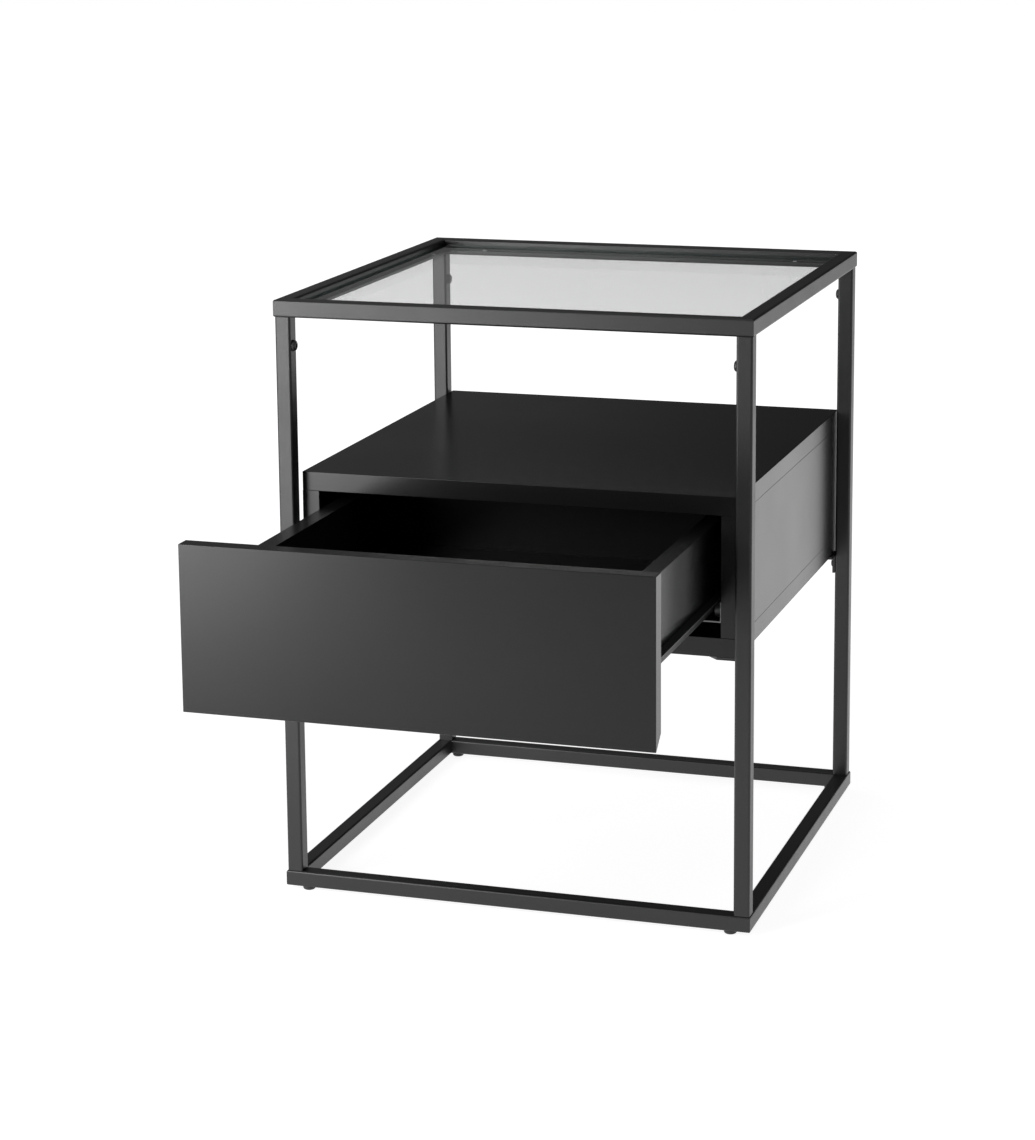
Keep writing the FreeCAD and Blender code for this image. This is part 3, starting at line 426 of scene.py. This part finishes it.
def inward(side):
    """Towards the table's middle, from its left (-1) or its right (1)."""
    return RIGHT if side < 0 else LEFT


def both_sides(x, ys, z):
    """Points on both sides at each depth, facing inward, each with its recess at another angle."""
    return [((side * x, y, z), inward(side), 17 * k + 29 * side) for side in SIDES for k, y in enumerate(ys)]


def leg_screws():
    """Button heads with a hexagon socket, on the legs' inner faces."""
    leg_face, depths, height = 209, (-86.5, 346.5), 522
    outline = [(0, -12), (2.6, -12), (3, -11.6), (3, 0), (5.25, 0), (5.25, 0.45)]
    outline += arc(2.2, 0.45, 3.05, 2.75, start=8, end=84, steps=9) + [(0, 3.2)]
    solid = carved(turned(outline), [prism(hexagon(across=4), low=1.2, high=4)], ease=0.12)
    places = both_sides(leg_face, depths, height)
    piece("leg_button_screws", "table", "black_screw", solid, places, ["leg_screws"])


def glides():
    """Domed plastic feet pressed into the bottom rails, with a fine ring round the sole."""
    out, front, back = 205, -87.5, 347.5
    outline = [(0, 0.25), (1.6, 0.2), (2.2, 0.05), (3.3, 0)]
    outline += arc(3.6, 2.2, 2.4, 2.2, start=-88, end=0, steps=9)
    outline += [(6, 3.2), (5.8, 3.45), (5.8, 4), (3, 4), (3, 10.4), (2.5, 11), (0, 11)]
    places = [((x, y, 0), UP, 0) for x in (-out, out) for y in (front, back)]
    piece("domed_glides", "table", "glide_plastic", turned(outline), places, ["foot_glides"])


def bracket_fixings():
    """Pan heads with a cross recess: into the front legs, the back legs and up into the cabinet."""
    flange_z, plate_z = 242.75, 251.5
    front_x, front_y = 216.5, -76.5
    back_x, back_y = 206.5, 346.5
    cabinet_x, cabinet_ys = 193, (-55.5, 333.5)
    outline = [(0, -12), (1.2, -12), (2, -10.4), (2, 0), (4, 0), (4, 0.7)]
    outline += arc(1.9, 0.7, 2.1, 1.7, start=6, end=82, steps=8) + [(0, 2.4)]
    recess = prism(cross(length=4.6, width=1.15), low=0.9, high=3)
    solid = carved(turned(outline, sides=36), [recess], ease=0.08)
    places = [((side * front_x, front_y, flange_z), BACKWARD, 20 * side) for side in SIDES]
    places += [((side * back_x, back_y, flange_z), inward(side), 40) for side in SIDES]
    places += [((side * cabinet_x, y, plate_z), DOWN, 10 + side * y) for side in SIDES for y in cabinet_ys]
    piece("cross_recess_screws", "table", "black_screw", solid, places, ["bracket_screws"])


def board_screws():
    """Flat-headed screws with a hexagon socket, flush with the board they go through."""
    cabinet_x, cabinet_ys, cabinet_z = 199.8, (17, 261), 254
    drawer_x, drawer_y, drawer_zs = 181.8, 53, (314.9, 353.3)
    outline = [(0, -50), (1.2, -50), (2.5, -47), (2.5, -5.2), (3.4, -4), (5, -4)]
    outline += [(5, -0.45), (4.7, -0.12), (0, -0.12)]
    solid = carved(turned(outline), [prism(hexagon(across=4), low=-2.6, high=1)], ease=0.1)
    other = solid.copy()
    places = [((side * cabinet_x, y, cabinet_z), DOWN, 12 * side + y) for side in SIDES for y in cabinet_ys]
    piece("cabinet_hex_screws", "table", "screw_steel", solid, places, ["carcass_screws"])
    places = [((side * drawer_x, drawer_y, z), inward(-side), z) for side in SIDES for z in drawer_zs]
    piece("drawer_hex_screws", "drawer", "screw_steel", other, places, ["drawer_screws"])


def runner_screws():
    """Low domed wood screws with a cross recess."""
    cabinet_x, cabinet_ys, cabinet_z = 190.6, (-21, 127, 287), 294.95
    drawer_x, drawer_ys, drawer_z = 174.8, (-297.4, -139, -0.4), 294.5
    outline = [(0, -12), (0.9, -12), (1.75, -10.2), (1.75, 0), (3.2, 0)]
    outline += [(3.15, 0.14), (2.6, 0.38), (1.6, 0.5), (0, 0.5)]
    recess = prism(cross(length=3.6, width=0.8), low=-0.9, high=1)
    solid = carved(turned(outline, sides=32), [recess], ease=0.05)
    other = solid.copy()
    places = both_sides(cabinet_x, cabinet_ys, cabinet_z)
    piece("cabinet_runner_cross_screws", "table", "screw_steel", solid, places, ["cabinet_runner_screws"])
    places = [((side * drawer_x, y, drawer_z), DOWN, y) for side in SIDES for y in drawer_ys]
    piece("drawer_runner_cross_screws", "drawer", "screw_steel", other, places, ["drawer_runner_screws"])


def roller_pair(name, outer, middle):
    """Moulded rollers of the outer radius, with a rounded tread and a sunk ring on both faces."""
    x, y, z = middle
    half = 2.8
    outline = [(2.06, -half + 0.2), (2.3, -half), (3.6, -half), (3.75, -half + 0.15), (3.9, -half + 0.9)]
    outline += [(outer - 1.9, -half + 0.9), (outer - 1.75, -half + 0.15), (outer - 1.6, -half)]
    outline += arc(outer - 0.6, -half + 0.6, 0.6, 0.6, start=-90, end=0, steps=4)
    outline += [(r, -h) for r, h in reversed(outline)]
    for side, suffix in zip(SIDES, ("left", "right")):
        node = name + "_" + suffix
        places = [((side * x, y, z), RIGHT, 0)]
        piece(node + "_moulded", node, "nylon", turned(outline, sides=56), places, [node])


def axle_pins():
    """Riveted ends with a small dimple from the punch."""
    outline = [(0, -7.9), (2, -7.9), (2, -0.3), (3, -0.3), (2.95, -0.12)]
    outline += [(2.5, 0), (1.1, 0), (0.7, -0.12), (0, -0.18)]
    front_x, rear_x = 183.84, 189.76
    places = [((side * front_x, *FRONT_AXLE), inward(side), 0) for side in SIDES]
    piece("front_rivets", "table", "screw_steel", turned(outline, sides=32), places, ["front_roller_axles"])
    places = [((side * rear_x, *REAR_AXLE), inward(-side), 0) for side in SIDES]
    piece("rear_rivets", "drawer", "screw_steel", turned(outline, sides=32), places, ["rear_roller_axles"])


def cams():
    """Cast cam locks: a cross slot for the driver, a small arrow towards the bolt and a thin rim."""
    out, depth, height = 165.8, -305, 334.1
    outline = [(0, -12.5), (7.1, -12.5), (7.4, -12.2), (7.4, -0.5), (7.2, -0.2)]
    outline += [(6.5, -0.2), (6.3, -0.45), (0, -0.45)]
    arrow = prism([(6.1, 0), (4.6, 0.9), (4.6, -0.9)], low=-0.8, high=1)
    recess = prism(cross(length=8, width=1.6), low=-3, high=1)
    solid = carved(turned(outline, sides=48), [recess, arrow], ease=0.1)
    places = [((-out, depth, height), RIGHT, 12), ((out, depth, height), LEFT, 168)]
    piece("cross_slot_cams", "drawer", "cam_zinc", solid, places, ["drawer_cams"])


leg_screws()
glides()
bracket_fixings()
board_screws()
runner_screws()
roller_pair("front_roller", outer=9, middle=(187, *FRONT_AXLE))
roller_pair("rear_roller", outer=7.7, middle=(186.6, *REAR_AXLE))
axle_pins()
cams()


# ---- Floor, light and camera ----------------------------------------------------------------------


def pale_surface(name, near_glow, colour):
    """White to the eye, but open to a soft shadow near the middle.

    In reflections it glows as well, more towards the back and less far away. As light it is only matt.
    """
    n = Nodes(name)
    tree = n.tree
    out = tree.nodes["Material Output"]
    tree.nodes.remove(n.shader)
    mix = n.add("ShaderNodeMixShader")
    mirrored = n.add("ShaderNodeMixShader")
    seen = n.add("ShaderNodeAddShader")
    lit = n.add("ShaderNodeAddShader")
    glowing = n.add("ShaderNodeEmission")
    white = n.add("ShaderNodeEmission")
    matt = n.add("ShaderNodeBsdfDiffuse")
    plain = n.add("ShaderNodeBsdfDiffuse")
    path = n.add("ShaderNodeLightPath")
    direct = n.add("ShaderNodeMath", operation="MAXIMUM")
    away = n.add("ShaderNodeVectorMath", operation="LENGTH")
    split = n.add("ShaderNodeSeparateXYZ")
    fade = n.add("ShaderNodeMath", operation="MULTIPLY")
    n.link(n.place, away.inputs[0])
    # The starts and ends are in metres from the middle of the floor.
    glow = n.spread(away.outputs["Value"], near_glow, 1.0, start=0.7, end=1.9)
    n.link(glow, glowing.inputs["Strength"])
    matt.inputs["Color"].default_value = (colour, colour, colour, 1)
    plain.inputs["Color"].default_value = (0.8, 0.8, 0.8, 1)
    n.link(path.outputs["Is Camera Ray"], direct.inputs[0])
    n.link(path.outputs["Is Transmission Ray"], direct.inputs[1])
    n.link(glowing.outputs[0], seen.inputs[0])
    n.link(matt.outputs[0], seen.inputs[1])
    n.link(n.place, split.inputs[0])
    backward = n.spread(split.outputs["Y"], 0.5, 1.05, start=-1.2, end=1.2)
    outward = n.spread(away.outputs["Value"], 1.0, 0.2, start=2.0, end=7.0)
    n.link(backward, fade.inputs[0])
    n.link(outward, fade.inputs[1])
    n.link(fade.outputs[0], white.inputs["Strength"])
    n.link(white.outputs[0], lit.inputs[0])
    n.link(plain.outputs[0], lit.inputs[1])
    n.link(path.outputs["Is Glossy Ray"], mirrored.inputs[0])
    n.link(plain.outputs[0], mirrored.inputs[1])
    n.link(lit.outputs[0], mirrored.inputs[2])
    n.link(direct.outputs[0], mix.inputs[0])
    n.link(mirrored.outputs[0], mix.inputs[1])
    n.link(seen.outputs[0], mix.inputs[2])
    n.link(mix.outputs[0], out.inputs[0])
    return n.material


def floor():
    mesh = bpy.data.meshes.new("floor")
    half = 14
    corners = [(-half, -half, 0), (half, -half, 0), (half, half, 0), (-half, half, 0)]
    mesh.from_pydata(corners, [], [(0, 1, 2, 3)])
    ground = bpy.data.objects.new("floor", mesh)
    bpy.context.scene.collection.objects.link(ground)
    mesh.materials.append(pale_surface("floor_white", near_glow=0.9, colour=0.4))


def softbox(name, place, target, width, height, power):
    """A soft lamp that the camera does not see directly."""
    lamp = bpy.data.lights.new(name, "AREA")
    lamp.shape = "RECTANGLE"
    lamp.size = width
    lamp.size_y = height
    lamp.energy = power
    thing = bpy.data.objects.new(name, lamp)
    bpy.context.scene.collection.objects.link(thing)
    thing.location = place
    thing.rotation_euler = (Vector(target) - Vector(place)).to_track_quat("-Z", "Y").to_euler()
    thing.visible_camera = False


def surroundings():
    """White to the eye. As light it is a dim room, paler overhead and near the horizon behind the left."""
    world = bpy.data.worlds.new("studio")
    bpy.context.scene.world = world
    world.use_nodes = True
    tree = world.node_tree
    tree.nodes.clear()
    out = tree.nodes.new("ShaderNodeOutputWorld")
    mix = tree.nodes.new("ShaderNodeMixShader")
    seen = tree.nodes.new("ShaderNodeBackground")
    light = tree.nodes.new("ShaderNodeBackground")
    path = tree.nodes.new("ShaderNodeLightPath")
    most = tree.nodes.new("ShaderNodeMath")
    place = tree.nodes.new("ShaderNodeTexCoord")
    parts = tree.nodes.new("ShaderNodeSeparateXYZ")
    toward = tree.nodes.new("ShaderNodeVectorMath")
    corner = tree.nodes.new("ShaderNodeMapRange")
    height = tree.nodes.new("ShaderNodeMapRange")
    band = tree.nodes.new("ShaderNodeMath")
    ceiling = tree.nodes.new("ShaderNodeMapRange")
    total = tree.nodes.new("ShaderNodeMath")
    toward.operation = "DOT_PRODUCT"
    behind_left = Vector((-0.52, 0.83, 0.12))
    toward.inputs[1].default_value = behind_left.normalized()
    # Each node with the two ends of what it measures, then the strength at each end.
    ranges = [
        (corner, 0.93, 1.0, 0.04, 0.22),
        (height, 0.145, 0.195, 1.0, 0.3),
        (ceiling, 0.38, 0.75, 0.01, 0.4),
    ]
    for node, start, end, low, high in ranges:
        node.interpolation_type = "SMOOTHSTEP"
        node.inputs["From Min"].default_value = start
        node.inputs["From Max"].default_value = end
        node.inputs["To Min"].default_value = low
        node.inputs["To Max"].default_value = high
    band.operation = "MULTIPLY"
    total.operation = "ADD"
    tree.links.new(place.outputs["Generated"], toward.inputs[0])
    tree.links.new(place.outputs["Generated"], parts.inputs[0])
    tree.links.new(toward.outputs["Value"], corner.inputs["Value"])
    tree.links.new(parts.outputs["Z"], height.inputs["Value"])
    tree.links.new(parts.outputs["Z"], ceiling.inputs["Value"])
    tree.links.new(corner.outputs["Result"], band.inputs[0])
    tree.links.new(height.outputs["Result"], band.inputs[1])
    tree.links.new(band.outputs[0], total.inputs[0])
    tree.links.new(ceiling.outputs["Result"], total.inputs[1])
    tree.links.new(total.outputs[0], light.inputs["Strength"])
    most.operation = "MAXIMUM"
    seen.inputs["Strength"].default_value = 1.0
    seen.inputs["Color"].default_value = (1, 1, 1, 1)
    light.inputs["Color"].default_value = (1, 1, 1, 1)
    tree.links.new(path.outputs["Is Camera Ray"], most.inputs[0])
    tree.links.new(path.outputs["Is Transmission Ray"], most.inputs[1])
    tree.links.new(most.outputs[0], mix.inputs[0])
    tree.links.new(light.outputs[0], mix.inputs[1])
    tree.links.new(seen.outputs[0], mix.inputs[2])
    tree.links.new(mix.outputs[0], out.inputs[0])


def camera():
    """From the front right, a little above; the small downward shift does part of a shift lens's work."""
    lens = bpy.data.cameras.new("camera")
    thing = bpy.data.objects.new("camera", lens)
    bpy.context.scene.collection.objects.link(thing)
    thing.location = (0.8112, -2.5773, 0.9740)
    yaw, down, roll = math.radians(17.91), math.radians(10.85), math.radians(-0.509)
    turn = Matrix.Rotation(yaw, 4, "Z") @ Matrix.Rotation(math.radians(90) - down, 4, "X")
    thing.rotation_euler = (turn @ Matrix.Rotation(roll, 4, "Z")).to_euler()
    lens.sensor_fit = "AUTO"
    lens.sensor_width = 36
    lens.lens = 93.776842
    lens.shift_y = -0.14
    lens.clip_end = 50
    bpy.context.scene.camera = thing


floor()
surroundings()
softbox("key_front_left", (-0.98, -1.6, 0.75), target=(-0.4, 0, 0.65), width=0.65, height=1.5, power=27)
softbox("left_back", (-2.3, 2.0, 0.9), target=(0, 0, 0.4), width=1.0, height=1.4, power=5)
camera()

bpy.context.scene.view_settings.view_transform = "Standard"
